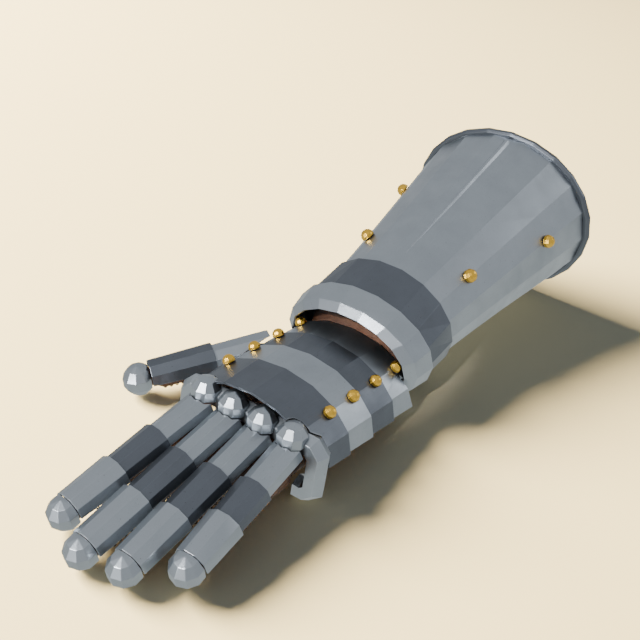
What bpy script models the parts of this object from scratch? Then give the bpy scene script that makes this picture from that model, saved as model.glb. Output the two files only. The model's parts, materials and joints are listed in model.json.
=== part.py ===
"""A left-hand plate gauntlet: steel plates over a leather glove, modelled at real size.

Two frames carry the pieces. The forearm frame has its Y axis along the middle of the cuff, from the
wrist towards the open mouth, with +Z over the back of the arm. The hand frame is hinged up from it at
the wrist, so that the knuckles stand higher than the wrist. The fingers point to -Y in both, the little
finger is at +X and the thumb at -X. Lengths are in millimetres until they reach Blender.
"""
from collections import namedtuple
from math import asin, cos, pi, radians, sin

import bmesh
import bpy
from mathutils import Matrix, Vector

MM = 0.001

# ---------------------------------------------------------------- sheet and clearances
PLATE = 1.2                   # steel of the cuff, the wrist and the hand
FINGER_PLATE = 1.0            # steel of the fingers and the thumb
LEATHER = 1.5                 # leather of the glove
GAP = 0.35                    # clearance between two pieces that touch

# ---------------------------------------------------------------- how it lies on a table
REST_LEAN = 8.797             # it leans forward until the bar's two ends and the cuff's rim touch
REST_HEIGHT = 28.50           # the middle of the wrist above the table
REST_SHIFT = -13.12           # these two bring the middle of its length and width over the origin
REST_ACROSS = 14.30

# ---------------------------------------------------------------- forearm frame
Ring = namedtuple("Ring", "y half_width half_height below", defaults=(None,))   # below: under the middle
RING_FACETS = 18
CUFF_FRONT = Ring(47.0, 43.6, 34.0)
CUFF_MOUTH = Ring(208.0, 65.6, 58.2)
CUFF_FLARE = 1.12             # 1 is a straight cone, more is a cuff that opens faster near its mouth
CUFF_STATIONS = (208.0, 187.0, 164.5, 126.0, 88.9, 68.0, 47.0)
RIDGE_START, RIDGE_END = 72.0, 205.0
RIDGE_WIDTH, RIDGE_HEIGHT = 5.6, 1.5
RIM_FACETS = 24
RIM_SECTION = 8
RIM_RADIUS = 3.0
DARK_WRIST = (Ring(19.5, 45.8, 30.6, 29.4), Ring(28.6, 46.9, 33.1, 31.7), Ring(56.4, 46.8, 37.8, 37.8))
WRIST_ROOM = 3.0              # from the light wrist lame's outside to what passes inside it
LIGHT_WRIST = (Ring(9.7, 41.0, 27.3, 26.5), Ring(14.7, 46.8, 31.4, 30.0), Ring(28.6, 49.4, 35.1, 33.3))

# ---------------------------------------------------------------- hand frame
WRIST_PIVOT = (0.0, -10.3, -12.2)
HAND_RISE = 14.0
LAME_FACETS = 8
LAME_STEP = 180.0 / LAME_FACETS
LAME_SIZE = (48.4, 31.0)
LAME_REARS = (-21.5, 1.2, 24.0, 46.7)
LAME_LENGTH = 31.0
LAME_FRONT = 76.5             # where the foremost lame stops
LAME_TUCK = 2.35              # how much smaller a lame is where the next one covers it
THUMB_SIDE_LAMES = 2          # the rear lames stop one facet short over the root of the thumb
BAR_PLACE = 71.0
BAR_RADIUS = 6.8
BAR_TILT = radians(30.0)      # brings a corner of its six-sided section to the top
# across and up, from the end turned in under the palm to the crown
BAR_HALF = ((33.5, -14.6), (39.0, -14.6), (43.0, -11.4), (43.0, 8.2), (39.0, 12.2), (19.3, 12.4))
KNUCKLE_PLACE, KNUCKLE_RISE = 76.5, 16.0
KNUCKLE_RADIUS = 8.8

# ---------------------------------------------------------------- fingers and thumb
FINGER_RISE, FINGER_DROOP = 8.5, 16.5
FINGER_FACETS = 5
TIP_RADIUS = 9.4
TIP_WALL = 1.1
TIP_DEPTH = 2.2               # how far a tip cap reaches back behind its centre
Finger = namedtuple("Finger", "name across reach fan first second")
FINGERS = (
    Finger("index", -29.0, 93.5, -4.4, 33.5, 61.5),
    Finger("middle", -9.7, 103.5, -1.8, 37.0, 68.0),
    Finger("ring", 9.7, 98.5, 0.4, 35.0, 65.0),
    Finger("little", 29.0, 82.5, 3.3, 31.0, 54.5),
)
Span = namedtuple("Span", "rear_width rear_height front_width front_height")
PROXIMAL = Span(9.3, 8.3, 8.7, 7.7)
MIDDLE = Span(10.25, 9.25, 9.25, 8.25)
DISTAL = Span(10.9, 9.9, 9.8, 8.9)
PROXIMAL_REAR = 2.2
PLATE_LAP = 4.0               # how far a plate runs on under the next one

THUMB_ROOT = (-38.6, 6.7, 10.0)
THUMB_TURN = (12.6, 4.2, -33.7)
THUMB_REACH = 90.0
THUMB_BASE = Span(10.8, 10.3, 9.9, 9.4)
THUMB_FRONT = Span(11.6, 11.2, 10.5, 9.6)
THUMB_BASE_REAR, THUMB_JOINT, THUMB_FRONT_END = 9.0, 44.5, 83.2
THUMB_TIP_RADIUS, THUMB_TIP_DEPTH = 9.9, 6.4
THUMB_TIP_NECK = 6.3
THUMB_ROOM = 1.2              # clearance between the thumb's base plate and the lames

# ---------------------------------------------------------------- glove
Slice = namedtuple("Slice", "y half_width top bottom")
GLOVE_FACETS = 20
# forearm frame, from the open end inside the cuff
GLOVE_SLEEVE = (
    Slice(80.0, 38.5, 30.0, -30.0),
    Slice(45.0, 38.5, 29.0, -29.0),
    Slice(28.0, 38.0, 24.5, -26.5),
)
# hand frame, from the wrist to the roots of the fingers; it dips under the knuckle bar
GLOVE_HAND = (
    Slice(22.5, 33.5, 25.5, -6.0),
    Slice(12.0, 34.8, 24.3, -10.0),
    Slice(-4.0, 40.0, 24.2, -13.8),
    Slice(-30.0, 41.4, 24.0, -16.0),
    Slice(-58.0, 39.8, 22.0, -16.5),
    Slice(-62.3, 32.0, 3.2, -16.5),
    Slice(-79.7, 32.0, 3.2, -16.3),
    Slice(-82.0, 36.5, 5.8, -16.0),
    Slice(-94.0, 37.0, 1.4, -14.5),
)
# finger frame, distances from the knuckle and from the tip
Tube = namedtuple("Tube", "width top bottom root_bottom root neck_depth neck")
FINGER_TUBE = Tube(6.8, 5.8, -8.6, -13.0, 10.0, 3.0, 6.7)
THUMB_TUBE = Tube(8.0, 6.6, -9.0, -9.0, 24.0, 7.2, 5.8)
THUMB_STEM = (Slice(4.0, 4.5, -3.0, -10.0), Slice(-14.0, 6.8, 2.6, -10.0))
THUMB_HOLE = (-1.0, 2.5)      # where the hand opens into the thumb, along the hand and up
THUMB_HOLE_RADIUS = 4.2
THUMB_HOLE_SPAN = (31.0, 44.5)
TUBE_FACETS = 10
ROOT_BLEND, NECK_BLEND = 12.0, 6.0
TIP_FILL = ((0.0, 6.7), (2.5, 5.8), (5.4, 3.4))   # past the cap's centre, half its thickness there
TIP_HOLLOW = 2.6              # half the hollow's thickness at its blind end

# ---------------------------------------------------------------- rivets
RIVET_SEGMENTS = 10
HEAD_RINGS = 4
Rivet = namedtuple("Rivet", "head shank seat grip foot")
HAND_RIVET = Rivet(3.8, 1.5, 0.9, 3.9, 2.4)
CUFF_RIVET = Rivet(4.6, 1.8, 1.2, 2.3, 3.2)
RIVET_SETBACK = 5.5           # from a lame's rear edge to its rivets
CUFF_RIVETS = ((88.9, 30.0), (164.5, 20.0))   # along the cuff, and round from its little-finger side
RIVET_SPREAD = 10.0           # the cuff's slope is taken this far to each side of a rivet


def material(name, colour, roughness, metallic):
    made = bpy.data.materials.new(name)
    made.use_nodes = True
    shader = made.node_tree.nodes["Principled BSDF"]
    shader.inputs["Base Color"].default_value = (*colour, 1.0)
    shader.inputs["Roughness"].default_value = roughness
    shader.inputs["Metallic"].default_value = metallic
    made.diffuse_color = (*colour, 1.0)
    return made


def clear_scene():
    for old in list(bpy.data.objects):
        bpy.data.objects.remove(old, do_unlink=True)


def add_object(name, mesh, finish, parent):
    """A named piece, or a hidden cutter when it has no finish of its own."""
    piece = bpy.data.objects.new(name, mesh)
    piece.parent = parent
    if finish is None:
        piece.display_type = "WIRE"
        piece.hide_render = True
        CUTTERS.objects.link(piece)
    else:
        piece.data.materials.append(finish)
        PARTS.objects.link(piece)
    return piece


def finish_mesh(name, grid, smooth=False):
    """Turns a finished bmesh into mesh data."""
    bmesh.ops.recalc_face_normals(grid, faces=grid.faces)
    for face in grid.faces:
        face.smooth = smooth
    mesh = bpy.data.meshes.new(name)
    grid.to_mesh(mesh)
    grid.free()
    return mesh


def boolean(piece, cutter, operation="DIFFERENCE"):
    step = piece.modifiers.new(operation.lower() + " " + cutter.name, "BOOLEAN")
    step.operation = operation
    step.solver = "EXACT"
    step.object = cutter


def arc(half_width, half_height, first, last, facets, y, lift=0.0):
    """Points on an ellipse that stands across the Y axis, from one angle to another, in degrees."""
    step = (last - first) / facets
    angles = [radians(first + step * i) for i in range(facets + 1)]
    return [Vector((half_width * cos(a), y, lift + half_height * sin(a))) for a in angles]


def ring_section(ring):
    points = arc(ring.half_width, ring.half_height, 0.0, 360.0, RING_FACETS, ring.y)[:-1]
    if ring.below is not None:
        for point in points:
            if point.z < 0.0:
                point.z *= ring.below / ring.half_height
    return points


def oval_section(part, facets):
    """A closed oval ring between a slice's top and its bottom."""
    middle = (part.top + part.bottom) / 2.0
    half = (part.top - part.bottom) / 2.0
    return arc(part.half_width, half, 0.0, 360.0, facets, part.y, middle)[:-1]


def loft_rows(grid, sections, closed):
    rows = [[grid.verts.new(point * MM) for point in section] for section in sections]
    columns = len(rows[0]) if closed else len(rows[0]) - 1
    for near, far in zip(rows, rows[1:]):
        for i in range(columns):
            j = (i + 1) % len(near)
            grid.faces.new((near[i], near[j], far[j], far[i]))
    return rows


def sheet(name, sections, thickness, finish, parent, closed=False):
    """Plate lofted through sections listed from the mouth to the fingers, thickened inwards."""
    grid = bmesh.new()
    loft_rows(grid, sections, closed)
    mesh = bpy.data.meshes.new(name)
    grid.to_mesh(mesh)
    grid.free()
    piece = add_object(name, mesh, finish, parent)
    wall = piece.modifiers.new("plate thickness", "SOLIDIFY")
    wall.thickness = thickness * MM
    wall.offset = -1.0
    wall.use_even_offset = True
    return piece


def solid(name, sections, finish, parent, smooth=False):
    """Closed solid lofted through rings, with a flat face at each end."""
    grid = bmesh.new()
    rows = loft_rows(grid, sections, closed=True)
    grid.faces.new(rows[0])
    grid.faces.new(rows[-1])
    return add_object(name, finish_mesh(name, grid, smooth), finish, parent)


def blend(first, last, share):
    return first + (last - first) * share


def cuff_ring(y):
    """The cuff's outside at a distance from the wrist."""
    share = (y - CUFF_FRONT.y) / (CUFF_MOUTH.y - CUFF_FRONT.y)
    spread = share ** CUFF_FLARE
    return Ring(y, blend(CUFF_FRONT.half_width, CUFF_MOUTH.half_width, spread),
                blend(CUFF_FRONT.half_height, CUFF_MOUTH.half_height, spread))


def make_cuff():
    """Flared tube with a raised ridge along its back, both in one sheet."""
    cuff = sheet("cuff", [ring_section(cuff_ring(y)) for y in CUFF_STATIONS], PLATE, STEEL, FOREARM,
                 closed=True)
    ridge = []
    for y, width, height in ((RIDGE_END, RIDGE_WIDTH, RIDGE_HEIGHT), (RIDGE_START, 1.0, 0.2)):
        top = cuff_ring(y).half_height * cos(pi / RING_FACETS)
        half = width / 2.0
        ridge.append([Vector((x, y, top + z)) for x, z in
                      ((half, -0.5), (half * 0.35, height), (-half * 0.35, height), (-half, -0.5))])
    boolean(cuff, solid("cuff ridge", ridge, None, FOREARM), "UNION")
    return cuff


def make_rim():
    """Rolled edge: a ring that is flat where it faces out of the mouth."""
    middle = CUFF_MOUTH.y + RIM_RADIUS + GAP
    ring = bmesh.new()
    loops = []
    for point in arc(CUFF_MOUTH.half_width + 0.8, CUFF_MOUTH.half_height + 0.4, 0.0, 360.0,
                     RIM_FACETS, middle)[:-1]:
        outward = Vector((point.x, 0.0, point.z)).normalized()
        loop = []
        for k in range(RIM_SECTION):
            turn = 2.0 * pi * (k + 0.5) / RIM_SECTION
            reach = outward * cos(turn) + Vector((0.0, 1.0, 0.0)) * sin(turn)
            loop.append(ring.verts.new((point + RIM_RADIUS * reach) * MM))
        loops.append(loop)
    for near, far in zip(loops, loops[1:] + loops[:1]):
        for k in range(RIM_SECTION):
            j = (k + 1) % RIM_SECTION
            ring.faces.new((near[k], near[j], far[j], far[k]))
    return add_object("cuff_rim", finish_mesh("cuff_rim", ring), DARK, FOREARM)


def make_wrist():
    for name, rings, finish in (("wrist_lame_dark", DARK_WRIST, DARK),
                                ("wrist_lame_light", LIGHT_WRIST, STEEL)):
        sheet(name, [ring_section(ring) for ring in reversed(rings)], PLATE, finish, FOREARM, closed=True)


def wrist_clearance():
    """The room the light wrist lame takes up, and all that lies outside it, behind its front lip."""
    lip, crest, rear = LIGHT_WRIST
    cutter = solid("wrist clearance", [ring_section(Ring(y, 80.0, 80.0)) for y in (40.0, lip.y - 2 * GAP)],
                   None, FOREARM)
    rows = [(rear.y + 16.0, rear), (rear.y, rear), (crest.y, crest), (lip.y, lip), (lip.y - 5.0, lip)]
    inside = [ring_section(Ring(y, r.half_width - WRIST_ROOM, r.half_height - WRIST_ROOM)) for y, r in rows]
    boolean(cutter, solid("wrist inside", inside, None, FOREARM))
    return cutter


def make_lames():
    """Four arches over the back of the hand; each one's rear edge covers the one behind it."""
    lames = []
    for k, rear in enumerate(LAME_REARS):
        front = min(rear + LAME_LENGTH, LAME_FRONT)
        tuck = LAME_TUCK * (front - rear) / LAME_LENGTH
        facets = LAME_FACETS - 1 if k < THUMB_SIDE_LAMES else LAME_FACETS
        last = facets * LAME_STEP
        sections = [arc(*LAME_SIZE, 0.0, last, facets, -rear),
                    arc(LAME_SIZE[0] - tuck, LAME_SIZE[1] - tuck, 0.0, last, facets, -front)]
        finish = STEEL if k % 2 == 0 else DARK
        lames.append(sheet("hand_lame_%d" % (len(LAME_REARS) - k), sections, PLATE, finish, HAND))
    return lames


def bar_mesh(name, radius):
    """A round bar bent into a squared arch, as mesh data."""
    curve = bpy.data.curves.new(name, "CURVE")
    curve.dimensions = "3D"
    curve.bevel_depth = radius * MM
    curve.bevel_resolution = 1
    curve.use_fill_caps = True
    right = [Vector((x, -BAR_PLACE, z)) for x, z in BAR_HALF]
    left = [Vector((-point.x, point.y, point.z)) for point in reversed(right)]
    route = right + left
    line = curve.splines.new("POLY")
    line.points.add(len(route) - 1)
    for knot, point in zip(line.points, route):
        knot.co = (*(point * MM), 1.0)
        knot.tilt = BAR_TILT
    drawn = bpy.data.objects.new(name, curve)
    bpy.context.scene.collection.objects.link(drawn)
    bpy.context.view_layer.update()
    grid = bmesh.new()
    grid.from_mesh(drawn.to_mesh())
    bmesh.ops.remove_doubles(grid, verts=grid.verts, dist=0.01 * MM)
    drawn.to_mesh_clear()
    bpy.data.objects.remove(drawn, do_unlink=True)
    return finish_mesh(name, grid)


def ball_mesh(name, radius):
    """A ten-sided ball standing on its pole."""
    grid = bmesh.new()
    bmesh.ops.create_uvsphere(grid, u_segments=10, v_segments=5, radius=radius * MM)
    return finish_mesh(name, grid)


def add_ball(name, place, radius, finish, parent):
    ball = add_object(name, ball_mesh(name, radius), finish, parent)
    ball.location = Vector(place) * MM
    return ball


def make_knuckles(lame):
    """The bar across the knuckles and the four bosses seated on it, let into the foremost lame."""
    add_object("knuckle_bar", bar_mesh("knuckle_bar", BAR_RADIUS), STEEL, HAND)
    seat = add_object("bar seat", bar_mesh("bar seat", BAR_RADIUS + GAP), None, HAND)
    slot = add_object("bar slot", bar_mesh("bar slot", BAR_RADIUS + 2 * GAP), None, HAND)
    boolean(lame, slot)
    bosses = []
    for finger in FINGERS:
        place = (finger.across, -KNUCKLE_PLACE, KNUCKLE_RISE)
        boss = add_ball(finger.name + "_knuckle", place, KNUCKLE_RADIUS, STEEL, HAND)
        boolean(boss, seat)
        bosses.append(add_ball(finger.name + " boss clearance", place, KNUCKLE_RADIUS + 2 * GAP, None, HAND))
    for room in (bosses[0], bosses[-1]):
        boolean(lame, room)
    return bosses


def finger_plate(name, span, rear, front, finish, frame):
    sections = [arc(span.rear_width, span.rear_height, 0.0, 180.0, FINGER_FACETS, -rear),
                arc(span.front_width, span.front_height, 0.0, 180.0, FINGER_FACETS, -front)]
    return sheet(name, sections, FINGER_PLATE, finish, frame)


def make_tip(name, reach, radius, depth, frame, neck=0.0):
    """A hollow cap over the fingertip, open towards the hand."""
    cap = add_ball(name, (0.0, -reach, 0.0), radius, STEEL, frame)
    boolean(cap, add_ball(name + " hollow", (0.0, -reach, 0.0), radius - TIP_WALL, None, frame))
    opening = [Ring(-reach + y, 2 * radius, 2 * radius) for y in (2 * radius, depth)]
    boolean(cap, solid(name + " opening", [ring_section(r) for r in opening], None, frame))
    if neck:
        bore = [Ring(-reach + y, neck, neck) for y in (radius, 0.0)]
        boolean(cap, solid(name + " neck", [ring_section(r) for r in bore], None, frame))


def tube_slices(tube, reach, stem=()):
    """Leather over one finger: full from the root, necked into its cap, rounded off inside it."""
    if stem:
        root = stem + (Slice(-tube.root, tube.width, tube.top, tube.bottom),)
    else:
        root = (Slice(-tube.root, tube.width, tube.top, tube.root_bottom),
                Slice(-tube.root - ROOT_BLEND, tube.width, tube.top, tube.bottom))
    neck = (Slice(-(reach - tube.neck_depth - NECK_BLEND), tube.width, tube.top, tube.bottom),
            Slice(-(reach - tube.neck_depth), tube.neck, min(tube.neck, tube.top), -tube.neck))
    return root + neck + tuple(Slice(-reach - past, half, half, -half) for past, half in TIP_FILL)


def leather_pair(name, slices, parent):
    """The outside of a leather tube and the hollow inside it, both closed solids."""
    outside = solid(name, [oval_section(s, TUBE_FACETS) for s in slices], None, parent)
    rings = [Slice(s.y, s.half_width - LEATHER, s.top - LEATHER, s.bottom + LEATHER) for s in slices[:-1]]
    rings[0] = rings[0]._replace(y=slices[0].y - LEATHER)
    last = slices[-1]
    rings.append(Slice(last.y + LEATHER, TIP_HOLLOW, TIP_HOLLOW, -TIP_HOLLOW))
    inside = solid(name + " hollow", [oval_section(s, TUBE_FACETS) for s in rings], None, parent)
    return outside, inside


def make_fingers(bosses):
    tubes = []
    for finger, boss in zip(FINGERS, bosses):
        frame = bpy.data.objects.new(finger.name + " frame", None)
        frame.parent = HAND
        frame.location = Vector((finger.across, -KNUCKLE_PLACE, FINGER_RISE)) * MM
        frame.rotation_euler = (radians(FINGER_DROOP), 0.0, radians(finger.fan))
        PARTS.objects.link(frame)
        first = finger_plate(finger.name + "_plate_proximal", PROXIMAL, PROXIMAL_REAR,
                             finger.first + PLATE_LAP, STEEL, frame)
        boolean(first, boss)
        finger_plate(finger.name + "_plate_middle", MIDDLE, finger.first,
                     finger.second + PLATE_LAP, DARK, frame)
        finger_plate(finger.name + "_plate_distal", DISTAL, finger.second,
                     finger.reach - TIP_DEPTH - GAP, STEEL, frame)
        make_tip(finger.name + "_tip", finger.reach, TIP_RADIUS, TIP_DEPTH, frame)
        tubes.append(leather_pair(finger.name + " tube", tube_slices(FINGER_TUBE, finger.reach), frame))
    return tubes


def make_thumb():
    frame = bpy.data.objects.new("thumb frame", None)
    frame.parent = HAND
    frame.location = Vector(THUMB_ROOT) * MM
    frame.rotation_euler = [radians(angle) for angle in THUMB_TURN]
    PARTS.objects.link(frame)
    base = finger_plate("thumb_plate_base", THUMB_BASE, THUMB_BASE_REAR, THUMB_JOINT + PLATE_LAP,
                        STEEL, frame)
    width, height = LAME_SIZE[0] + THUMB_ROOM, LAME_SIZE[1] + THUMB_ROOM
    room = [arc(width, height, -6.0, 186.0, 2 * LAME_FACETS, y) for y in (30.0, -60.0)]
    boolean(base, solid("thumb plate clearance", room, None, HAND))
    finger_plate("thumb_plate_front", THUMB_FRONT, THUMB_JOINT, THUMB_FRONT_END, DARK, frame)
    make_tip("thumb_tip", THUMB_REACH, THUMB_TIP_RADIUS, THUMB_TIP_DEPTH, frame, THUMB_TIP_NECK)
    return leather_pair("thumb tube", tube_slices(THUMB_TUBE, THUMB_REACH, THUMB_STEM), frame)


def in_hand_frame(point):
    """A point of the forearm frame, in the hand frame."""
    return Matrix.Rotation(radians(HAND_RISE), 3, "X") @ (point - Vector(WRIST_PIVOT))


def glove_sections(sleeve, hand):
    rows = [[in_hand_frame(point) for point in oval_section(part, GLOVE_FACETS)] for part in sleeve]
    return rows + [oval_section(part, GLOVE_FACETS) for part in hand]


def thinner(part, shift=0.0):
    return Slice(part.y + shift, part.half_width - LEATHER, part.top - LEATHER, part.bottom + LEATHER)


def make_glove(tubes):
    """One glove: the hand and its five tubes joined, then hollowed from the sleeve's open end."""
    glove = solid("glove", glove_sections(GLOVE_SLEEVE, GLOVE_HAND), HIDE, HAND)
    for outside, inside in tubes:
        boolean(glove, outside, "UNION")
    sleeve = [thinner(part, 5.0 if k == 0 else 0.0) for k, part in enumerate(GLOVE_SLEEVE)]
    # the walls of the dip under the bar and the one at the fingers' roots stand across the hand
    shifts = (0.0, 0.0, 0.0, 0.0, LEATHER, LEATHER, -LEATHER, -LEATHER, LEATHER)
    hand = [thinner(part, shift) for part, shift in zip(GLOVE_HAND, shifts)]
    boolean(glove, solid("glove hollow", glove_sections(sleeve, hand), None, HAND))
    for outside, inside in tubes:
        boolean(glove, inside)
    way = [ring_section(Ring(y, THUMB_HOLE_RADIUS, THUMB_HOLE_RADIUS)) for y in reversed(THUMB_HOLE_SPAN)]
    hole = solid("thumb hole", way, None, HAND)
    hole.location = Vector((0.0, *THUMB_HOLE)) * MM
    hole.rotation_euler.z = radians(90.0)
    boolean(glove, hole)


def rivet_mesh(name, rivet):
    """Ball head, shank and a spread foot turned about +Z; the plate's surface is at zero."""
    low = asin((GAP - rivet.seat) / rivet.head)
    turns = [blend(pi / 2.0, low, k / HEAD_RINGS) for k in range(1, HEAD_RINGS + 1)]
    profile = [(rivet.head * cos(t), rivet.seat + rivet.head * sin(t)) for t in turns]
    profile += [(rivet.shank, GAP), (rivet.shank, -rivet.grip), (rivet.foot, -rivet.grip),
                (rivet.foot * 0.7, -rivet.grip - 0.9)]
    grid = bmesh.new()
    rows = []
    for radius, height in profile:
        turns = [2.0 * pi * k / RIVET_SEGMENTS for k in range(RIVET_SEGMENTS)]
        rows.append([grid.verts.new(Vector((radius * cos(t), radius * sin(t), height)) * MM) for t in turns])
    for near, far in zip(rows, rows[1:]):
        for i in range(RIVET_SEGMENTS):
            j = (i + 1) % RIVET_SEGMENTS
            grid.faces.new((near[i], near[j], far[j], far[i]))
    crown = grid.verts.new(Vector((0.0, 0.0, rivet.seat + rivet.head)) * MM)
    for i in range(RIVET_SEGMENTS):
        grid.faces.new((crown, rows[0][i], rows[0][(i + 1) % RIVET_SEGMENTS]))
    grid.faces.new(rows[-1])
    return finish_mesh(name, grid)


def set_rivet(name, rivet, place, outward, parent, plates):
    """A rivet standing on a plate, and the hole it needs through each plate under it."""
    turn = Vector(outward).to_track_quat("Z", "Y").to_euler()
    pin = add_object(name, rivet_mesh(name, rivet), BRASS, parent)
    turns = [2.0 * pi * k / RIVET_SEGMENTS for k in range(RIVET_SEGMENTS)]
    bore = rivet.shank + GAP
    sections = [[Vector((bore * cos(t), bore * sin(t), height)) for t in turns] for height in (2.0, -6.0)]
    drill = solid(name + " hole", sections, None, parent)
    for piece in (pin, drill):
        piece.location = Vector(place) * MM
        piece.rotation_euler = turn
    for plate in plates:
        boolean(plate, drill)


def on_ring(ring, angle):
    return Vector((ring.half_width * cos(radians(angle)), ring.y, ring.half_height * sin(radians(angle))))


def between(near, far, y):
    """The ring that a straight loft between two rings passes through."""
    share = (y - near.y) / (far.y - near.y)
    return Ring(y, blend(near.half_width, far.half_width, share),
                blend(near.half_height, far.half_height, share))


def facing(near, far, y, angle):
    """Which way a straight loft between two rings faces at a distance and an angle."""
    ring = between(near, far, y)
    turn = radians(angle)
    along = on_ring(far, angle) - on_ring(near, angle)
    around = Vector((-ring.half_width * sin(turn), 0.0, ring.half_height * cos(turn)))
    outward = around.cross(along).normalized()
    return outward if outward.dot(on_ring(ring._replace(y=0.0), angle)) > 0.0 else -outward


def make_rivets(cuff, lames):
    for k, rear in enumerate(LAME_REARS):
        near = Ring(-rear, *LAME_SIZE)
        far = Ring(-rear - LAME_LENGTH, LAME_SIZE[0] - LAME_TUCK, LAME_SIZE[1] - LAME_TUCK)
        y = -rear - RIVET_SETBACK
        for side, angle in (("little", 45.0), ("thumb", 135.0)):
            set_rivet("hand_rivet_%s_%d" % (side, len(LAME_REARS) - k), HAND_RIVET,
                      on_ring(between(near, far, y), angle), facing(near, far, y, angle), HAND,
                      lames[max(k - 1, 0):k + 1])
    for row, (y, angle) in enumerate(CUFF_RIVETS):
        near, far = cuff_ring(y - RIVET_SPREAD), cuff_ring(y + RIVET_SPREAD)
        for side, turn in (("little", angle), ("thumb", 180.0 - angle)):
            set_rivet("cuff_rivet_%s_%d" % (side, row + 1), CUFF_RIVET,
                      on_ring(cuff_ring(y), turn), facing(near, far, y, turn), FOREARM, [cuff])


def make_gauntlet():
    cuff = make_cuff()
    make_rim()
    make_wrist()
    lames = make_lames()
    boolean(lames[0], wrist_clearance())
    bosses = make_knuckles(lames[-1])
    tubes = make_fingers(bosses)
    tubes.append(make_thumb())
    make_glove(tubes)
    make_rivets(cuff, lames)


clear_scene()
PARTS = bpy.data.collections.new("gauntlet")
CUTTERS = bpy.data.collections.new("cutters")
for group in (PARTS, CUTTERS):
    bpy.context.scene.collection.children.link(group)
STEEL = material("bright_steel", (0.55, 0.58, 0.62), 0.28, 1.0)
DARK = material("dark_steel", (0.17, 0.19, 0.21), 0.35, 1.0)
BRASS = material("brass", (0.80, 0.55, 0.18), 0.25, 1.0)
HIDE = material("brown_leather", (0.16, 0.07, 0.035), 0.7, 0.0)
FOREARM = bpy.data.objects.new("forearm", None)
FOREARM.rotation_euler.x = radians(REST_LEAN)
FOREARM.location = Vector((REST_ACROSS, REST_SHIFT, REST_HEIGHT)) * MM
PARTS.objects.link(FOREARM)
HAND = bpy.data.objects.new("hand", None)
HAND.parent = FOREARM
HAND.location = Vector(WRIST_PIVOT) * MM
HAND.rotation_euler.x = radians(-HAND_RISE)
PARTS.objects.link(HAND)
make_gauntlet()
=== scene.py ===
# %% [markdown]
# # Dressing a plate gauntlet
# A plate gauntlet is a leather glove that carries a shell of steel: a flared cuff over the forearm, bands
# round the wrist, arched plates over the back of the hand and three short plates on every finger. The
# solids of all of it already exist, so this lesson gives them their softened edges, their steel, brass
# and leather, and rebuilds the one soft piece, the glove. The solids come in first and are never moved.

import json
from collections import namedtuple
from math import cos, pi, radians, sin

import bmesh
import bpy
from mathutils import Euler, Matrix, Vector, noise
from mathutils.bvhtree import BVHTree

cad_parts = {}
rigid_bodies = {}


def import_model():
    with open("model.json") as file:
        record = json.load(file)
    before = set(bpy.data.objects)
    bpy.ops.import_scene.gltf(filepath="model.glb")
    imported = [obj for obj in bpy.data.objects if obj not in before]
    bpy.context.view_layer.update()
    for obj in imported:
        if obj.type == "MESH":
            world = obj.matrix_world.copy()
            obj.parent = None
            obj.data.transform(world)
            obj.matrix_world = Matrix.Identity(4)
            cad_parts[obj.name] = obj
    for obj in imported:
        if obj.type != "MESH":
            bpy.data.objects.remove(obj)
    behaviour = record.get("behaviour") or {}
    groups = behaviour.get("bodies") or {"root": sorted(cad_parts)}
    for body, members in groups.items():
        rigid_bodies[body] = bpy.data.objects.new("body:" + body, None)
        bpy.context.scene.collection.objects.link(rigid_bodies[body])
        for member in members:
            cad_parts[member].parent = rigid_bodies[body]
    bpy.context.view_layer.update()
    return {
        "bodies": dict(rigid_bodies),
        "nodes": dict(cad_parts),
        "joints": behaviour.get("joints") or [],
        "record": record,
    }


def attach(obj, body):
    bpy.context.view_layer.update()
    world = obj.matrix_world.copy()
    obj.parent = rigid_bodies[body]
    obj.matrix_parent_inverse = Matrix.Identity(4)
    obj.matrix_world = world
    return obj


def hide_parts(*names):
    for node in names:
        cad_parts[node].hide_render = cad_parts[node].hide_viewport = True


for old in list(bpy.data.objects):
    bpy.data.objects.remove(old, do_unlink=True)
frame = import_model()
MM = 0.001
PLATES = frame["nodes"]

# %% [markdown]
# ## Where it lies and how the hand is bent
# The gauntlet lies palm down. It leans forward a little, because the rolled rim of its cuff is wider than
# its wrist, so it rests on that rim and on the two turned-in ends of the knuckle bar. Everything on the
# forearm is easy to place in a frame of its own, with +Y along the cuff, and everything on the hand in a
# second frame that is hinged up from the first. Two matrices hold these frames, and later pieces use them.

# %% The frames of the forearm and the hand
LEAN = radians(8.797)
WRIST = Vector((14.30, -13.12, 28.50)) * MM
HAND_HINGE = Vector((0.0, -10.3, -12.2)) * MM
HAND_RISE = radians(14.0)
FOREARM = Matrix.Translation(WRIST) @ Matrix.Rotation(LEAN, 4, "X")
HAND = FOREARM @ Matrix.Translation(HAND_HINGE) @ Matrix.Rotation(-HAND_RISE, 4, "X")
print("middle of the wrist:", tuple(round(v, 4) for v in WRIST))

# %% [markdown]
# ## The camera
# The camera looks down on the gauntlet from in front of the little finger, over the fingertips. It could
# be aimed by hand, but two angles and a place say it exactly: turned about the upright, then tipped down.

# %% Camera
CAMERA_PLACE = Vector((223.85, -324.94, 350.79)) * MM
CAMERA_TURN = radians(36.0)
CAMERA_TIP = radians(39.02)
lens = bpy.data.cameras.new("camera")
lens.lens = 50.0
lens.sensor_width = 36.0
lens.clip_start, lens.clip_end = 0.01, 20.0
camera = bpy.data.objects.new("camera", lens)
bpy.context.scene.collection.objects.link(camera)
aim = Matrix.Rotation(CAMERA_TURN, 4, "Z") @ Matrix.Rotation(pi / 2.0 - CAMERA_TIP, 4, "X")
camera.matrix_world = FOREARM @ Matrix.Translation(CAMERA_PLACE) @ aim
bpy.context.scene.camera = camera
print("camera height above the floor: %.3f m" % camera.matrix_world.translation.z)

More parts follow.
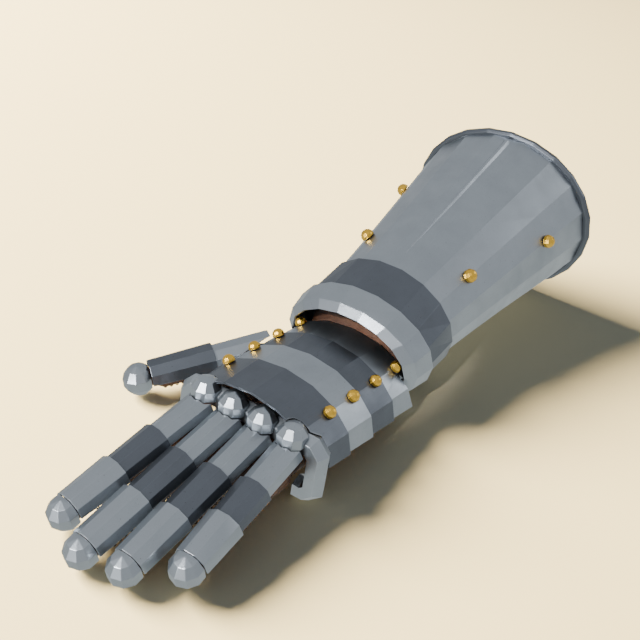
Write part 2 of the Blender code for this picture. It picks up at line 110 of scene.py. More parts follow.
# %% [markdown]
# ## Building a material from nodes
# Every finish below is a small network of shader nodes. Written out node by node that is long and hard to
# read, so one helper holds a material while it grows: it adds a node, sets its sockets and links what is
# handed to it. A socket gets a plain value or the output of another node, whichever it is given.

# %% The Finish helper
class Finish:
    """A material with its Principled shader, and short ways to add nodes to it."""

    def __init__(self, name, colour, roughness, metallic=0.0):
        self.material = bpy.data.materials.new(name)
        self.material.use_nodes = True
        self.tree = self.material.node_tree
        self.shader = self.tree.nodes["Principled BSDF"]
        self.put(self.shader, {"Base Color": colour, "Roughness": roughness, "Metallic": metallic})
        self.material.diffuse_color = (*colour, 1.0)

    def put(self, node, sockets):
        for key, value in sockets.items():
            socket = node.inputs[key]
            if isinstance(value, bpy.types.NodeSocket):
                self.tree.links.new(value, socket)
            elif socket.type == "RGBA":
                socket.default_value = (*value, 1.0)
            else:
                socket.default_value = value
        return node

    def add(self, kind, sockets=None, **settings):
        node = self.tree.nodes.new("ShaderNode" + kind)
        for key, value in settings.items():
            setattr(node, key, value)
        return self.put(node, sockets or {})

    def place(self, stretch=(1.0, 1.0, 1.0), turn=(0.0, 0.0, 0.0)):
        """The point on the object, in metres, pulled out along some axes."""
        point = self.add("TexCoord").outputs["Object"]
        return self.add("Mapping", {"Vector": point, "Scale": stretch, "Rotation": turn}).outputs["Vector"]

    def grain(self, scale, stretch=(1.0, 1.0, 1.0), detail=4.0, rough=0.55, turn=(0.0, 0.0, 0.0)):
        """Noise between 0 and 1, with so many waves to the metre."""
        made = self.add("TexNoise", {"Vector": self.place(stretch, turn), "Scale": scale,
                                     "Detail": detail, "Roughness": rough})
        return made.outputs["Fac"]

    def band(self, value, low, high, to_low=0.0, to_high=1.0):
        """Spreads the part of a value between low and high over a new range."""
        made = self.add("MapRange", {"Value": value, "From Min": low, "From Max": high,
                                     "To Min": to_low, "To Max": to_high})
        return made.outputs["Result"]

    def sums(self, operation, *values):
        return self.add("Math", dict(enumerate(values)), operation=operation).outputs[0]

    def mix(self, share, first, second):
        made = self.add("MixRGB", {"Fac": share, "Color1": first, "Color2": second})
        return made.outputs["Color"]

    def bump(self, height, distance, strength=1.0, under=None):
        """Raises the surface by a height between 0 and 1 times a distance in metres."""
        sockets = {"Height": height, "Distance": distance, "Strength": strength}
        if under is not None:
            sockets["Normal"] = under
        return self.add("Bump", sockets).outputs["Normal"]


print("finish helper ready")

# %% [markdown]
# ## Where a plate wears and where shade is painted
# The outer corners of armour are rubbed bright by sleeves and straps, and the inner corners where one plate
# meets the next are darkened, which is painted shade. Both could be painted on by hand, with a picture for
# every plate. Two nodes find them on any shape instead. Bevel gives a rounded normal: where it leaves the
# true one, there is an outer corner. Ambient Occlusion counts how much of the sky is hidden: where most of
# it is, there is an inner corner.

# %% Masks for corners
def edge_mask(finish, radius):
    """1 along the corners of a plate, 0 on its faces."""
    rounded = finish.add("Bevel", {"Radius": radius}, samples=4).outputs["Normal"]
    true = finish.add("NewGeometry").outputs["Normal"]
    alike = finish.add("VectorMath", {0: rounded, 1: true}, operation="DOT_PRODUCT").outputs["Value"]
    return finish.band(alike, 0.995, 0.90)


# Where plates hide the sky, this mask darkens the steel as painted shade and tarnishes the brass.
def shade_and_patina_mask(finish, reach):
    """1 deep in a corner between two plates, 0 in the open."""
    shade = finish.add("AmbientOcclusion", {"Distance": reach}, samples=6).outputs["AO"]
    return finish.band(shade, 0.60, 0.15)


# The second mask paints shade into the inner corners of the steel.
print("masks: worn corners and dirty corners")

# %% [markdown]
# ## Polished and darkened steel
# Armour plate is planished with a flat-faced hammer, ground, and rubbed along its length with finer and
# finer grit. What stays is a satin metal with hair-fine scratches, soft cloudy patches where the polish is
# uneven, and very shallow hammer marks. The darkened plates are the same steel heated until it turns blue
# black and then waxed, and they wear back to bare metal on their corners. A flat metal with one roughness
# would look like plastic foil, so each of these is a layer of noise at its own size.

# %% Steel
CLOUD_WAVES, HAMMER_WAVES, HAIR_WAVES, PIT_WAVES = 45.0, 130.0, 420.0, 900.0
ALONG_THE_PLATE = (9.0, 0.30, 9.0)
HAMMER_DEPTH, HAIR_DEPTH, PIT_DEPTH = 0.10 * MM, 0.020 * MM, 0.03 * MM
CORNER_RADIUS, SHADE_REACH = 0.7 * MM, 2.5 * MM


def make_steel(name, colour, worn, grime_and_shade, roughness, wear):
    steel = Finish(name, colour, roughness, metallic=1.0)
    cloud = steel.grain(CLOUD_WAVES, detail=3.0)
    hairs = steel.grain(HAIR_WAVES, stretch=ALONG_THE_PLATE, detail=5.0, rough=0.7)
    hammer = steel.add("TexVoronoi", {"Vector": steel.place(), "Scale": HAMMER_WAVES, "Smoothness": 1.0},
                       feature="SMOOTH_F1").outputs["Distance"]
    pits = steel.band(steel.grain(PIT_WAVES, detail=2.0), 0.68, 0.78)
    edges = steel.sums("MULTIPLY", edge_mask(steel, CORNER_RADIUS),
                       steel.band(steel.grain(260.0), 0.36, 0.60))
    corners = shade_and_patina_mask(steel, SHADE_REACH)
    tone = steel.mix(steel.band(cloud, 0.35, 0.70), colour, tuple(0.86 * part for part in colour))
    tone = steel.mix(steel.band(hairs, 0.30, 0.75, 0.0, 0.22), tone, tuple(0.55 * part for part in colour))
    tone = steel.mix(steel.sums("MULTIPLY", pits, 0.5), tone, grime_and_shade)
    # painted shade: the tone sinks toward the dark colour where neighbouring plates hide the sky
    tone = steel.mix(steel.sums("MULTIPLY", corners, 0.30), tone, grime_and_shade)
    tone = steel.mix(steel.sums("MULTIPLY", edges, wear), tone, worn)
    gloss = steel.sums("ADD", steel.band(cloud, 0.3, 0.7, roughness - 0.05, roughness + 0.07),
                       steel.band(hairs, 0.3, 0.7, -0.03, 0.05))
    gloss = steel.sums("ADD", gloss, steel.sums("MULTIPLY", corners, 0.15))
    relief = steel.bump(hammer, HAMMER_DEPTH, 0.5)
    relief = steel.bump(hairs, HAIR_DEPTH, 0.8, relief)
    relief = steel.bump(pits, PIT_DEPTH, 0.6, relief)
    steel.put(steel.shader, {"Base Color": tone, "Roughness": gloss, "Normal": relief})
    return steel.material


# The third colour is grime in the pits and painted shade in the inner corners.
BRIGHT_STEEL = make_steel("bright_steel", (0.44, 0.47, 0.50), (0.70, 0.72, 0.74), (0.10, 0.085, 0.07),
                          0.34, 0.45)
DARK_STEEL = make_steel("dark_steel", (0.165, 0.178, 0.200), (0.42, 0.44, 0.46), (0.035, 0.03, 0.027),
                        0.36, 0.55)
print("steels:", BRIGHT_STEEL.name, DARK_STEEL.name)

# %% [markdown]
# ## Brass
# The rivets have ball heads of cast brass, filed to small flats and buffed. Brass goes brown where fingers
# and cloth never reach, so the tone sinks towards brown in the corner where a head meets its plate and
# stays yellow on the crown.

# %% Brass
def make_brass():
    colour, tarnish = (0.95, 0.56, 0.07), (0.24, 0.12, 0.03)
    brass = Finish("brass", colour, 0.27, metallic=1.0)
    cloud = brass.grain(500.0, detail=3.0)
    scratch = brass.grain(2400.0, stretch=(1.0, 0.2, 1.0), detail=3.0)
    corners = shade_and_patina_mask(brass, 3.0 * MM)
    tone = brass.mix(brass.band(cloud, 0.35, 0.70), colour, (0.80, 0.46, 0.06))
    tone = brass.mix(brass.sums("MULTIPLY", corners, 0.8), tone, tarnish)
    gloss = brass.band(cloud, 0.3, 0.7, 0.20, 0.36)
    brass.put(brass.shader, {"Base Color": tone, "Roughness": gloss,
                             "Normal": brass.bump(scratch, 0.02 * MM, 0.7)})
    return brass.material


BRASS = make_brass()
print("brass:", BRASS.name)

# %% [markdown]
# ## Giving each plate its steel and its edge
# No smith leaves a plate with a knife edge: every rim is filed round, and the creases between two planished
# flats are softened by the polishing wheel. The loaded meshes are triangles with separate faces, so three
# modifiers follow each other: Weld joins the corners, a planar Decimate turns each flat back into one face,
# and Bevel rounds whatever is left sharper than a few degrees. The mesh below them stays as it was loaded.

# %% Plates and rivets
EDGE_ROUND = {"rivet": 0.18 * MM, "knuckle": 0.35 * MM, "tip": 0.30 * MM, "lame": 0.35 * MM,
              "cuff": 0.40 * MM, "plate": 0.28 * MM}
OTHER_ROUND = 0.3 * MM
DARK_PLATES = ("cuff_rim", "wrist_lame_dark", "hand_lame_1", "hand_lame_3", "thumb_plate_front")
SAME_CORNER = 0.004 * MM
ONE_FLAT, SHARP_EDGE = radians(0.8), radians(9.0)


def soften(piece, width):
    weld = piece.modifiers.new("joined corners", "WELD")
    weld.merge_threshold = SAME_CORNER
    flat = piece.modifiers.new("flat faces", "DECIMATE")
    flat.decimate_type = "DISSOLVE"
    flat.angle_limit = ONE_FLAT
    edge = piece.modifiers.new("softened edges", "BEVEL")
    edge.width = width
    edge.segments = 2
    edge.limit_method = "ANGLE"
    edge.angle_limit = SHARP_EDGE
    edge.use_clamp_overlap = True


for name, piece in PLATES.items():
    if name == "glove":
        continue
    is_dark = name in DARK_PLATES or name.endswith("_plate_middle")
    metal = BRASS if "rivet" in name else DARK_STEEL if is_dark else BRIGHT_STEEL
    piece.data.materials.clear()
    piece.data.materials.append(metal)
    soften(piece, next((width for word, width in EDGE_ROUND.items() if word in name), OTHER_ROUND))
print("softened:", len(PLATES) - 1)

# %% [markdown]
# ## The turned edge of the cuff
# The plate of a cuff does not stop short of its rim: the smith turns the last few millimetres over a wire,
# and that roll is the rim. The loaded cuff and rim are two solids with a hair of clearance between them, and
# light shows through it. A new tube could bridge it, but the end faces of the cuff already have the right
# outline, so they are copied and drawn out backwards until they run in under the roll.

# %% The turned edge
EDGE_TURN = 1.3 * MM
CUFF_END = 207.9 * MM


def new_piece(name, grid):
    mesh = bpy.data.meshes.new(name)
    grid.to_mesh(mesh)
    grid.free()
    piece = bpy.data.objects.new(name, mesh)
    bpy.context.scene.collection.objects.link(piece)
    return piece


cuff = PLATES["cuff"]
grid = bmesh.new()
grid.from_mesh(cuff.data)
grid.transform(FOREARM.inverted() @ cuff.matrix_world)
inside = [face for face in grid.faces if min(vertex.co.y for vertex in face.verts) < CUFF_END]
bmesh.ops.delete(grid, geom=inside, context="FACES")
drawn = bmesh.ops.extrude_face_region(grid, geom=grid.faces[:], use_keep_orig=True)["geom"]
bmesh.ops.translate(grid, verts=[part for part in drawn if isinstance(part, bmesh.types.BMVert)],
                    vec=(0.0, EDGE_TURN, 0.0))
bmesh.ops.recalc_face_normals(grid, faces=grid.faces)
grid.transform(FOREARM)
turned_edge = new_piece("cuff_turned_edge", grid)
turned_edge.data.materials.append(BRIGHT_STEEL)
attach(turned_edge, "root")
print("turned edge, faces:", len(turned_edge.data.polygons))

# %% [markdown]
# ## The glove: its shape
# Under all this plate is a plain leather glove: two pieces of hide sewn together, with a straight sleeve
# that ends inside the cuff. It carries every plate, and it dips under the knuckle bar. The loaded solid
# has the right size but flat facets. Loose overlapping tubes for the sleeve, the palm and the five fingers
# are quicker to get right than one net of faces, because a voxel remesh melts tubes that overlap into one
# skin and rounds the places where the fingers part, as hide does.

# %% Sections of the glove
Slice = namedtuple("Slice", "y half_width top bottom")
OVAL_SIDES = 28
SLEEVE = (Slice(84.0, 38.4, 29.9, -29.9), Slice(45.0, 38.4, 28.9, -28.9), Slice(28.0, 37.9, 24.4, -26.4))
PALM = (Slice(22.5, 33.4, 25.4, -6.0), Slice(12.0, 34.7, 24.2, -10.0), Slice(-4.0, 39.9, 24.1, -13.8),
        Slice(-30.0, 41.3, 23.9, -16.0), Slice(-58.0, 39.7, 21.9, -16.5), Slice(-62.3, 31.9, 3.1, -16.5),
        Slice(-79.7, 31.9, 3.1, -16.3), Slice(-82.0, 36.4, 5.7, -16.0), Slice(-94.0, 36.9, 1.3, -14.5))


def oval(part):
    """One closed oval section of hide, in metres."""
    middle, half = (part.top + part.bottom) / 2.0, (part.top - part.bottom) / 2.0
    turns = [2.0 * pi * k / OVAL_SIDES for k in range(OVAL_SIDES)]
    return [Vector((part.half_width * cos(t), part.y, middle + half * sin(t))) * MM for t in turns]


print("sections of the sleeve and the palm:", len(SLEEVE) + len(PALM))

# %% [markdown]
# ## The glove: the fingers and the thumb
# Each finger of the glove starts under its knuckle boss, droops a little and fans out from its neighbours,
# and the thumb leaves the heel of the hand at a slant. Each one gets a frame of its own, with its length
# along -Y, so a few sections and a round tip describe it without any thought of where it points. Bones would
# bend them too, but a frame is plainer, and the seams need the same frames later on.

# %% Frames and sections of the digits
Digit = namedtuple("Digit", "name frame slices")
KNUCKLE_ROW, FINGER_RISE, FINGER_DROOP = -76.5, 8.5, radians(16.5)
FINGERS = (("index", -29.0, 93.5, -4.4), ("middle", -9.7, 103.5, -1.8), ("ring", 9.7, 98.5, 0.4),
           ("little", 29.0, 82.5, 3.3))
TIP_SLICES = ((0.0, 6.6), (2.5, 5.7), (5.4, 3.3))
THUMB_REACH = 90.0
THUMB_FRAME = HAND @ Matrix.Translation(Vector((-38.6, 6.7, 10.0)) * MM) @ \
    Euler([radians(angle) for angle in (12.6, 4.2, -33.7)]).to_matrix().to_4x4()


def fingertip(reach):
    return tuple(Slice(-reach - past, half, half, -half) for past, half in TIP_SLICES)


def list_digits():
    digits = []
    for name, across, reach, fan in FINGERS:
        place = Matrix.Translation(Vector((across, KNUCKLE_ROW, FINGER_RISE)) * MM)
        turn = Euler((FINGER_DROOP, 0.0, radians(fan))).to_matrix().to_4x4()
        slices = (Slice(-10.0, 7.4, 5.7, -13.5), Slice(-22.0, 7.6, 5.7, -12.0),
                  Slice(9.0 - reach, 7.2, 5.7, -9.0), Slice(3.0 - reach, 6.6, 5.7, -6.6))
        digits.append(Digit(name, HAND @ place @ turn, slices + fingertip(reach)))
    thumb = (Slice(4.0, 4.4, -3.0, -9.9), Slice(-14.0, 6.7, 2.5, -9.9), Slice(-24.0, 7.9, 6.5, -8.9),
             Slice(13.2 - THUMB_REACH, 7.9, 6.5, -8.9), Slice(7.2 - THUMB_REACH, 5.7, 5.7, -5.7))
    digits.append(Digit("thumb", THUMB_FRAME, thumb + fingertip(THUMB_REACH)))
    return digits


DIGITS = list_digits()
print("digits:", ", ".join(digit.name for digit in DIGITS))

# %% [markdown]
# ## The glove: one skin
# A loft joins each row of sections to a closed tube: one for the sleeve and the palm, and five digits. They
# still cut through each other, so the Remesh modifier samples all of them in small cubes and draws a single
# skin round the lot. Union booleans
# would keep the sharp valley where two tubes meet. A few rounds of smoothing take the steps off the cubes.

# %% Join the tubes into one skin
VOXEL = 1.2 * MM
SMOOTHING_ROUNDS = 6


def loft(grid, rings):
    """A closed tube through rings of points, with a flat face at each end."""
    rows = [[grid.verts.new(point) for point in ring] for ring in rings]
    for near, far in zip(rows, rows[1:]):
        for k in range(OVAL_SIDES):
            j = (k + 1) % OVAL_SIDES
            grid.faces.new((near[k], near[j], far[j], far[k]))
    grid.faces.new(rows[0])
    grid.faces.new(rows[-1])


def baked(piece):
    """The mesh that a piece's modifiers make, as a bmesh; the piece itself is taken away."""
    seen = piece.evaluated_get(bpy.context.evaluated_depsgraph_get())
    grid = bmesh.new()
    grid.from_mesh(seen.to_mesh())
    seen.to_mesh_clear()
    bpy.data.objects.remove(piece, do_unlink=True)
    return grid


grid = bmesh.new()
body = [[FOREARM @ point for point in oval(part)] for part in SLEEVE]
body += [[HAND @ point for point in oval(part)] for part in PALM]
loft(grid, body)
for digit in DIGITS:
    loft(grid, [[digit.frame @ point for point in oval(part)] for part in digit.slices])
bmesh.ops.recalc_face_normals(grid, faces=grid.faces)
tubes = new_piece("glove_tubes", grid)
melt = tubes.modifiers.new("one skin", "REMESH")
melt.mode = "VOXEL"
melt.voxel_size = VOXEL
relax = tubes.modifiers.new("rounded", "SMOOTH")
relax.factor = 0.5
relax.iterations = SMOOTHING_ROUNDS
bpy.context.view_layer.update()
skin = baked(tubes)
print("points on the skin:", len(skin.verts))

# %% [markdown]
# ## The glove: creases
# Hide that has been worn buckles into soft rolls round the wrist and into short creases across the inside
# of each finger joint. Sculpting them by hand gives a nicer single fold, but stretched noise gives all of
# them at once. The skin is only ever pushed inwards, so no fold can come up through a plate. Depths are in
# millimetres, and the waves of the noise are counted to the metre.

# %% Creases
SLEEVE_END = 79.2 * MM
HEM = 8.0 * MM
ROLL_WAVES_ROUND, ROLL_WAVES_ALONG, FINE_WAVES = 14.0, 75.0, 210.0
WRIST_FOLDS_AT, WRIST_FOLDS_REACH = 24.0 * MM, 34.0 * MM
REST_DEPTH, FINE_DEPTH, ROLL_DEPTH, CREASE_DEPTH, HEM_DEPTH = 0.22, 0.20, 0.75, 0.55, 0.35
CREASE_STEPS, CREASE_HALF, HEM_HALF = (-2.6, 0.0, 2.4), 0.9, 1.2
JOINTS = {"index": (33.5, 61.5), "middle": (37.0, 68.0), "ring": (35.0, 65.0), "little": (31.0, 54.5),
          "thumb": (44.5,)}


def dent(point):
    """How far the hide is pushed in at a point, in millimetres."""
    along = FOREARM.inverted() @ point
    rolls = noise.noise(Vector((along.x * ROLL_WAVES_ROUND, along.y * ROLL_WAVES_ALONG,
                                along.z * ROLL_WAVES_ROUND)))
    fine = noise.noise(point * FINE_WAVES)
    wrist = max(0.0, 1.0 - abs(along.y - WRIST_FOLDS_AT) / WRIST_FOLDS_REACH)
    depth = REST_DEPTH + FINE_DEPTH * fine + wrist * ROLL_DEPTH * (0.5 + rolls)
    for digit in DIGITS:
        place = digit.frame.inverted() @ point / MM
        if abs(place.x) > 9.0 or place.z > 2.0 or place.y > -14.0:
            continue
        for joint in JOINTS[digit.name]:
            for step in CREASE_STEPS:
                wave = place.y + joint + step + 0.8 * noise.noise(place * 0.25)
                depth += CREASE_DEPTH * max(0.0, 1.0 - abs(wave) / CREASE_HALF) \
                    * min(1.0, (2.0 - place.z) / 5.0)
    stitch_line = abs(along.y - (SLEEVE_END - HEM)) / MM
    return max(0.0, depth) + HEM_DEPTH * max(0.0, 1.0 - stitch_line / HEM_HALF)


skin.normal_update()
depths = [dent(vertex.co) for vertex in skin.verts]
for vertex, depth in zip(skin.verts, depths):
    vertex.co -= vertex.normal * depth * MM
print("deepest crease: %.2f mm" % max(depths))

# %% [markdown]
# ## The glove: open end and wall
# The sleeve is cut off square where it ends inside the cuff, and glove hide for armour is about 1.5 mm
# thick. The cut is made on the closed skin, and Solidify then grows the wall inwards, so the outside stays
# where it is and the cut end shows the thickness of the hide. Modelling the inside by hand would give the
# same wall with twice the work.

# %% Open end and wall
HIDE_WALL = 1.5 * MM
mouth = FOREARM @ Vector((0.0, SLEEVE_END, 0.0))
outward = FOREARM.to_3x3() @ Vector((0.0, 1.0, 0.0))
bmesh.ops.bisect_plane(skin, geom=skin.verts[:] + skin.edges[:] + skin.faces[:], plane_co=mouth,
                       plane_no=outward, clear_outer=True)
for face in skin.faces:
    face.smooth = True
glove = new_piece("glove_leather", skin)
wall = glove.modifiers.new("hide", "SOLIDIFY")
wall.thickness = HIDE_WALL
wall.offset = -1.0
print("glove corners:", len(glove.data.vertices))

# %% [markdown]
# ## Leather
# Brown glove hide is dyed in the vat, then oiled. It has a fine pebbled grain of cells about a millimetre
# across, darker in the folds where oil and dirt gather, and it pales and shines a little where it rubs.
# Cells, folds and wear are three textures of different size: one alone reads as paint.

# %% Leather
PEBBLE_CELLS, BLOTCH_WAVES, FOLD_WAVES, RUB_WAVES = 850.0, 55.0, 170.0, 330.0
PEBBLE_DEPTH, FOLD_DEPTH, RUB_RADIUS = 0.10 * MM, 0.22 * MM, 1.6 * MM


def make_leather():
    colour, pale, deep = (0.074, 0.034, 0.019), (0.13, 0.072, 0.046), (0.030, 0.013, 0.008)
    hide = Finish("brown_leather", colour, 0.6)
    cells = hide.add("TexVoronoi", {"Vector": hide.place(), "Scale": PEBBLE_CELLS},
                     feature="DISTANCE_TO_EDGE").outputs["Distance"]
    pebble = hide.band(cells, 0.0, 0.28)
    blotch = hide.grain(BLOTCH_WAVES, detail=5.0, rough=0.6)
    folds = hide.band(hide.grain(FOLD_WAVES, stretch=(1.0, 2.6, 1.0), detail=6.0, rough=0.7), 0.34, 0.52)
    rubbed = hide.sums("MULTIPLY", edge_mask(hide, RUB_RADIUS),
                       hide.band(hide.grain(RUB_WAVES), 0.35, 0.65))
    tone = hide.mix(hide.band(blotch, 0.35, 0.68), colour, tuple(1.55 * part for part in colour))
    tone = hide.mix(hide.band(folds, 0.0, 1.0, 0.55, 0.0), tone, deep)
    tone = hide.mix(hide.band(pebble, 0.0, 0.6, 0.35, 0.0), tone, deep)
    tone = hide.mix(hide.sums("MULTIPLY", rubbed, 0.5), tone, pale)
    gloss = hide.sums("ADD", hide.band(blotch, 0.3, 0.7, 0.50, 0.68), hide.band(pebble, 0.0, 1.0, 0.10, 0.0))
    relief = hide.bump(folds, FOLD_DEPTH, 0.7)
    relief = hide.bump(pebble, PEBBLE_DEPTH, 0.7, relief)
    hide.put(hide.shader, {"Base Color": tone, "Roughness": gloss, "Normal": relief,
                           "Specular IOR Level": 0.4})
    return hide.material


glove.data.materials.append(make_leather())
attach(glove, "root")
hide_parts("glove")
print("leather on:", glove.name)

# %% [markdown]
# ## The seams
# The two hides of a glove are sewn with waxed linen thread, in a row of short stitches along both edges of
# the palm, along both sides of every finger and round the hem. Bump could draw them for a far view. Here
# each stitch is a small arch of thread that comes out of one hole and goes down into the next, so it catches
# the light from any side.

# %% One stitch
THREAD = 0.38 * MM
THREAD_SIDES = 6
STITCH_ARCH = ((0.0, -0.40), (0.20, 0.34), (0.50, 0.52), (0.80, 0.34), (1.0, -0.40))


def add_stitch(grid, near, far):
    """One arch of thread between two points on the hide, each a place and a normal."""
    start, end, up = near[0], far[0], (near[1] + far[1]).normalized()
    side = (end - start).normalized().cross(up)
    rows = []
    for share, rise in STITCH_ARCH:
        middle = start.lerp(end, share) + rise * MM * up
        turns = [2.0 * pi * k / THREAD_SIDES for k in range(THREAD_SIDES)]
        rows.append([grid.verts.new(middle + THREAD * (cos(t) * side + sin(t) * up)) for t in turns])
    for near_row, far_row in zip(rows, rows[1:]):
        for k in range(THREAD_SIDES):
            j = (k + 1) % THREAD_SIDES
            grid.faces.new((near_row[k], near_row[j], far_row[j], far_row[k]))
    grid.faces.new(rows[0])
    grid.faces.new(rows[-1])


print("thread, mm thick:", round(2.0 * THREAD / MM, 2))

# %% [markdown]
# ## Where the holes are
# A saddler pricks the holes of a seam with a toothed wheel, so they are evenly spaced along the hide. A
# curve drawn on the glove would follow it, but it has to be drawn again whenever the glove changes. Here a
# ray goes out from the middle of a finger, and where it meets the hide is a hole. A stitch that would be
# far too long has jumped from one finger to the next, and is left out.

# %% Rows of stitches
STITCH_LENGTH, STITCH_STEP = 2.3, 3.5
LONGEST_STITCH = 1.5 * STITCH_LENGTH * MM
hide = BVHTree.FromPolygons([vertex.co for vertex in glove.data.vertices],
                            [face.vertices for face in glove.data.polygons])


def sew(grid, frame, holes):
    """A row of stitches; each of its holes is a middle and an outward way, both in the frame."""
    turn = frame.to_3x3()
    for pair in holes:
        ends = [hide.ray_cast(frame @ (Vector(middle) * MM), turn @ Vector(way))[:2] for middle, way in pair]
        if all(point for point, _ in ends) and (ends[0][0] - ends[1][0]).length < LONGEST_STITCH:
            add_stitch(grid, *ends)


def straight_row(first, last, lift, angle):
    """Holes along a frame's own Y axis, from one distance to another, on the side at an angle."""
    way = (cos(angle), 0.0, sin(angle))
    count = int(abs(last - first) / STITCH_STEP)
    starts = [first - k * STITCH_STEP for k in range(count)]
    return [(((0.0, y, lift), way), ((0.0, y - STITCH_LENGTH, lift), way)) for y in starts]


def hem_row(y, count):
    angles = [2.0 * pi * k / count for k in range(count)]
    span = 2.0 * pi / count * STITCH_LENGTH / STITCH_STEP
    return [(((0.0, y, 0.0), (cos(a), 0.0, sin(a))), ((0.0, y, 0.0), (cos(a + span), 0.0, sin(a + span))))
            for a in angles]


print("stitches to 100 mm of seam:", int(100.0 / STITCH_STEP))

# %% [markdown]
# ## Sewing the glove
# The seams of a glove lie low on its sides, out of the way of the plates. The palm has one along each edge,
# every digit one along each side, and the hem is sewn round. All stitches go into one mesh, because thread
# is one material and nobody will ever pick out a single stitch.

# %% Sew the seams
PALM_SEAM, FINGER_SEAM = radians(-10.0), radians(-32.0)
HEM_STITCHES = 62
thread = bmesh.new()
for angle in (PALM_SEAM, pi - PALM_SEAM):
    sew(thread, HAND, straight_row(16.0, -92.0, -5.0, angle))
for digit in DIGITS:
    reach = -digit.slices[-1].y
    for angle in (FINGER_SEAM, pi - FINGER_SEAM):
        sew(thread, digit.frame, straight_row(-26.0, 14.0 - reach, -2.5, angle))
sew(thread, FOREARM, hem_row((SLEEVE_END - HEM) / MM, HEM_STITCHES))
bmesh.ops.recalc_face_normals(thread, faces=thread.faces)
for face in thread.faces:
    face.smooth = True
stitching = new_piece("glove_stitching", thread)
print("stitches:", len(stitching.data.vertices) // (THREAD_SIDES * len(STITCH_ARCH)))

# %% [markdown]
# ## Waxed thread
# Linen thread is drawn over a lump of beeswax before it is used. It is pale brown, a little shiny, and it
# darkens with dirt sooner than the hide does. It is twisted from plies, which show as small lumps along it.
# A twisted mesh would be far too heavy for something so thin, so a fine cell texture raises the lumps.

# %% Thread
PLY_CELLS, PLY_DEPTH = 3200.0, 0.08 * MM


def make_thread():
    colour, dirty = (0.235, 0.150, 0.085), (0.085, 0.050, 0.030)
    linen = Finish("waxed_thread", colour, 0.62)
    plies = linen.add("TexVoronoi", {"Vector": linen.place(), "Scale": PLY_CELLS}).outputs["Distance"]
    wear = linen.grain(140.0, detail=4.0)
    tone = linen.mix(linen.band(wear, 0.35, 0.65), colour, dirty)
    tone = linen.mix(linen.band(plies, 0.2, 0.8, 0.0, 0.45), tone, dirty)
    linen.put(linen.shader, {"Base Color": tone, "Roughness": linen.band(wear, 0.3, 0.7, 0.50, 0.72),
                             "Normal": linen.bump(plies, PLY_DEPTH, 0.8)})
    return linen.material


stitching.data.materials.append(make_thread())
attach(stitching, "root")
print("thread on:", stitching.name)

# %% [markdown]
# ## The floor
# The gauntlet lies on a warm pale paper that runs on past the edge of the view, as on a product table. The
# floor is a hair below zero, so that no face of it lies in a face of the rim. The steel does not mirror it:
# the lower part of the sky, further on, stands in for it there, and can be set without touching the paper.

# %% Floor
FLOOR_HALF = 4.0
FLOOR_DROP = 0.05 * MM
grid = bmesh.new()
bmesh.ops.create_grid(grid, x_segments=1, y_segments=1, size=FLOOR_HALF)
sheet = bpy.data.meshes.new("floor")
grid.to_mesh(sheet)
grid.free()
floor = bpy.data.objects.new("floor", sheet)
floor.location.z = -FLOOR_DROP
bpy.context.scene.collection.objects.link(floor)
paper = Finish("floor paper", (0.92, 0.76, 0.44), 0.9)
paper.put(paper.shader, {"Specular IOR Level": 0.1})
sheet.materials.append(paper.material)
floor.visible_glossy = False
print("floor:", 2.0 * FLOOR_HALF, "m across")

# %% [markdown]
# ## The lamps
# Polished steel shows its surroundings more than itself. The key lamp hangs high over the thumb side and
# gives the shadow. Its glare is kept off the metal, as a polarising filter would, so that the flats differ
# by the pale sky alone. Three lamps do the opposite and only glint in metal: two in front, one over the
# other, where the flats of the knuckle bosses and the fingertips mirror them into the eye, and a wide one
# behind the little finger.

# %% Lamps
Lamp = namedtuple("Lamp", "name place size watts colour on_metal on_cloth")
LAMPS = (
    Lamp("key", (-2.60, -0.88, 1.75), 2.1, 1000.0, (1.0, 0.90, 0.66), False, True),
    Lamp("front", (-0.34, -1.58, 1.42), 0.46, 40.0, (0.97, 0.985, 1.0), True, False),
    Lamp("front_low", (-0.25, -2.06, 0.58), 0.40, 21.0, (0.97, 0.985, 1.0), True, False),
    Lamp("side", (1.17, 1.61, 1.10), 0.7, 3.1, (0.93, 0.97, 1.0), True, False),
)
for lamp in LAMPS:
    light = bpy.data.lights.new(lamp.name, "AREA")
    light.shape = "DISK"
    light.size = lamp.size
    light.energy = lamp.watts
    light.color = lamp.colour
    hung = bpy.data.objects.new(lamp.name, light)
    hung.location = lamp.place
    hung.rotation_mode = "QUATERNION"
    hung.rotation_quaternion = Vector(lamp.place).to_track_quat("Z", "Y")
    hung.visible_glossy = lamp.on_metal
    hung.visible_diffuse = lamp.on_cloth
    bpy.context.scene.collection.objects.link(hung)
print("lamps:", ", ".join(lamp.name for lamp in LAMPS))

# %% [markdown]
# ## The lamp with a snoot
# One more lamp has a snoot, a short tube that leaves a beam of a few degrees. It is aimed into the gap
# between the wrist band and the hand plates, where the leather would otherwise be lost in the dark. A wider
# lamp would do it too, but it would wash out the shadow on the floor.

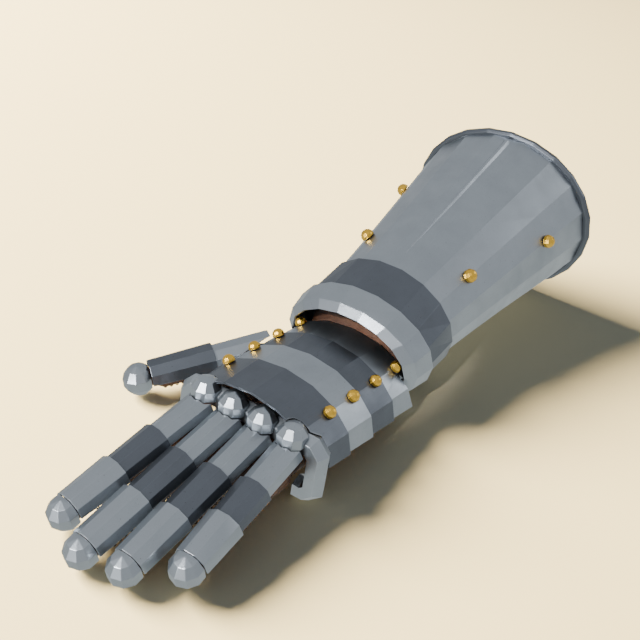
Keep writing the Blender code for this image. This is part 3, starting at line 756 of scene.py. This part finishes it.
# %% Snoot
SNOOT_STAND = Vector((0.10, -0.85, 0.66))
SNOOT_WATTS, SNOOT_ANGLE, SNOOT_RADIUS = 100.0, radians(4.4), 0.03
gap = HAND @ (Vector((0.0, 6.0, 28.0)) * MM)
beam = bpy.data.lights.new("snoot", "SPOT")
beam.energy = SNOOT_WATTS
beam.spot_size, beam.spot_blend = SNOOT_ANGLE, 0.6
beam.shadow_soft_size = SNOOT_RADIUS
snoot = bpy.data.objects.new("snoot", beam)
snoot.location = gap + SNOOT_STAND
snoot.rotation_mode = "QUATERNION"
snoot.rotation_quaternion = SNOOT_STAND.to_track_quat("Z", "Y")
snoot.visible_glossy = False
bpy.context.scene.collection.objects.link(snoot)
print("snoot, m from the gap:", round(SNOOT_STAND.length, 2))

# %% [markdown]
# ## The sky
# The sky is a plain pale dome. Metal mirrors it dimmest at the horizon, a little brighter overhead, and
# brightest from below, as if pale paper lay there. Where the sky fills a shadow it is weaker and bluer. One
# colour for both jobs would leave either the steel too dark or the shadows too pale, so the Light Path node
# tells the two apart. Each stop says how high, from -1 straight down to 1 straight up, and the colour there.

# %% Sky
SKY_ON_METAL = ((-0.30, (0.74, 0.79, 0.77)), (-0.08, (0.54, 0.57, 0.595)), (0.05, (0.55, 0.58, 0.61)),
                (0.40, (0.607, 0.642, 0.676)))
SKY_ON_CLOTH = (0.112, 0.146, 0.212)


def add_sky():
    sky = bpy.data.worlds.new("sky")
    sky.use_nodes = True
    nodes, links = sky.node_tree.nodes, sky.node_tree.links
    axes = nodes.new("ShaderNodeSeparateXYZ")
    links.new(nodes.new("ShaderNodeTexCoord").outputs["Generated"], axes.inputs[0])
    height = nodes.new("ShaderNodeMapRange")
    height.inputs["From Min"].default_value = -1.0
    links.new(axes.outputs["Z"], height.inputs["Value"])
    ramp = nodes.new("ShaderNodeValToRGB")
    while len(ramp.color_ramp.elements) < len(SKY_ON_METAL):
        ramp.color_ramp.elements.new(1.0)
    for stop, (level, colour) in zip(ramp.color_ramp.elements, SKY_ON_METAL):
        stop.position = (level + 1.0) / 2.0
        stop.color = (*colour, 1.0)
    links.new(height.outputs["Result"], ramp.inputs["Fac"])
    tint = nodes.new("ShaderNodeMixRGB")
    tint.inputs["Color2"].default_value = (*SKY_ON_CLOTH, 1.0)
    links.new(nodes.new("ShaderNodeLightPath").outputs["Is Diffuse Ray"], tint.inputs["Fac"])
    links.new(ramp.outputs["Color"], tint.inputs["Color1"])
    links.new(tint.outputs["Color"], nodes["Background"].inputs["Color"])
    bpy.context.scene.world = sky


add_sky()
print("lights:", len(bpy.data.lights))
